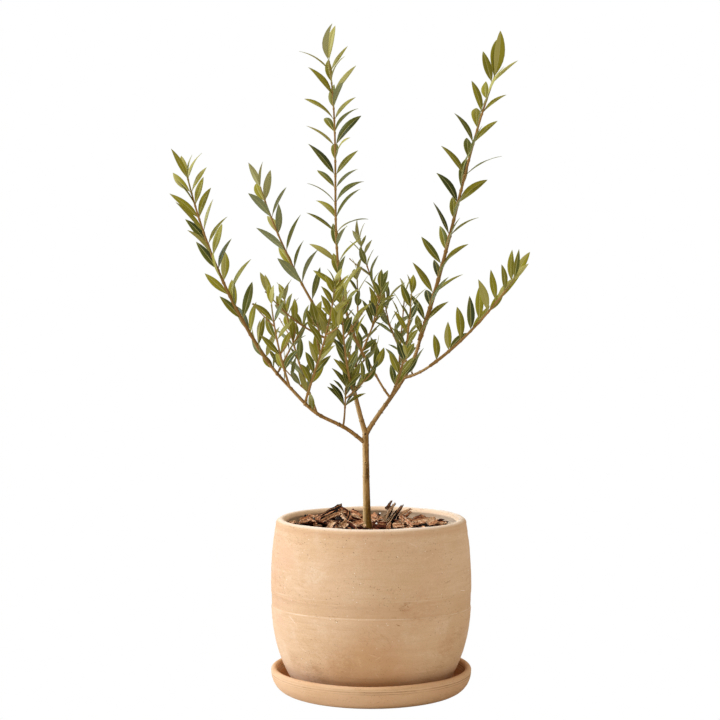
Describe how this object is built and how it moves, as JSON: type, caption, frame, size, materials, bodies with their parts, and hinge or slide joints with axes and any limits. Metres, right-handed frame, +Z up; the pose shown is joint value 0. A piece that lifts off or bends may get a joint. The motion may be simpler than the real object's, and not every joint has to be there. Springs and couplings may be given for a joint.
{
  "type": "potted olive tree",
  "caption": "Young olive tree with an open crown of slender leafy shoots on a thin trunk, in a barrel-shaped terracotta pot of bark mulch standing in a round saucer.",
  "frame": {"origin": "centre of the saucer's flat underside", "axes": "+Z up along the pot's axis; -Y towards the front, the side the picture shows; +X to the viewer's right"},
  "size_m": [0.4525, 0.2905, 0.8641],
  "materials": {
    "clay": "matte unglazed terracotta, pale buff, slightly pitted",
    "soil": "dark moist bark compost",
    "chipwood": "rough reddish-brown bark chips",
    "bark": "smooth khaki-brown young bark with light flecks",
    "foliage": "leathery leaves, olive green above and silvery grey-green below"
  },
  "bodies": {
    "root": {"saucer": "clay", "pot": "clay", "mulch_bed": "soil", "chip_plank": "chipwood", "chip_curl": "chipwood", "chip_lath": "chipwood", "chip_blade": "chipwood", "chip_spike": "chipwood", "chip_splinter": "chipwood", "chip_01": "chipwood", "chip_02": "chipwood", "chip_03": "chipwood", "chip_04": "chipwood", "chip_05": "chipwood", "chip_06": "chipwood", "chip_07": "chipwood", "chip_08": "chipwood", "chip_09": "chipwood", "chip_10": "chipwood", "chip_11": "chipwood", "chip_12": "chipwood", "trunk": "bark", "bough_leader": "bark", "bough_left": "bark", "bough_right": "bark", "bough_third": "bark", "bough_tall": "bark", "bough_far_right": "bark", "foliage_left": "foliage", "foliage_third": "foliage", "foliage_tall": "foliage", "foliage_right": "foliage", "foliage_far_right": "foliage", "foliage_right_inner": "foliage", "foliage_second": "foliage", "foliage_leader": "foliage", "foliage_left_inner": "foliage", "foliage_low": "foliage", "foliage_sprig": "foliage", "foliage_front": "foliage", "foliage_back": "foliage", "foliage_front_right": "foliage", "foliage_back_right": "foliage", "foliage_back_left": "foliage", "foliage_front_left": "foliage"}
  },
  "joints": []
}
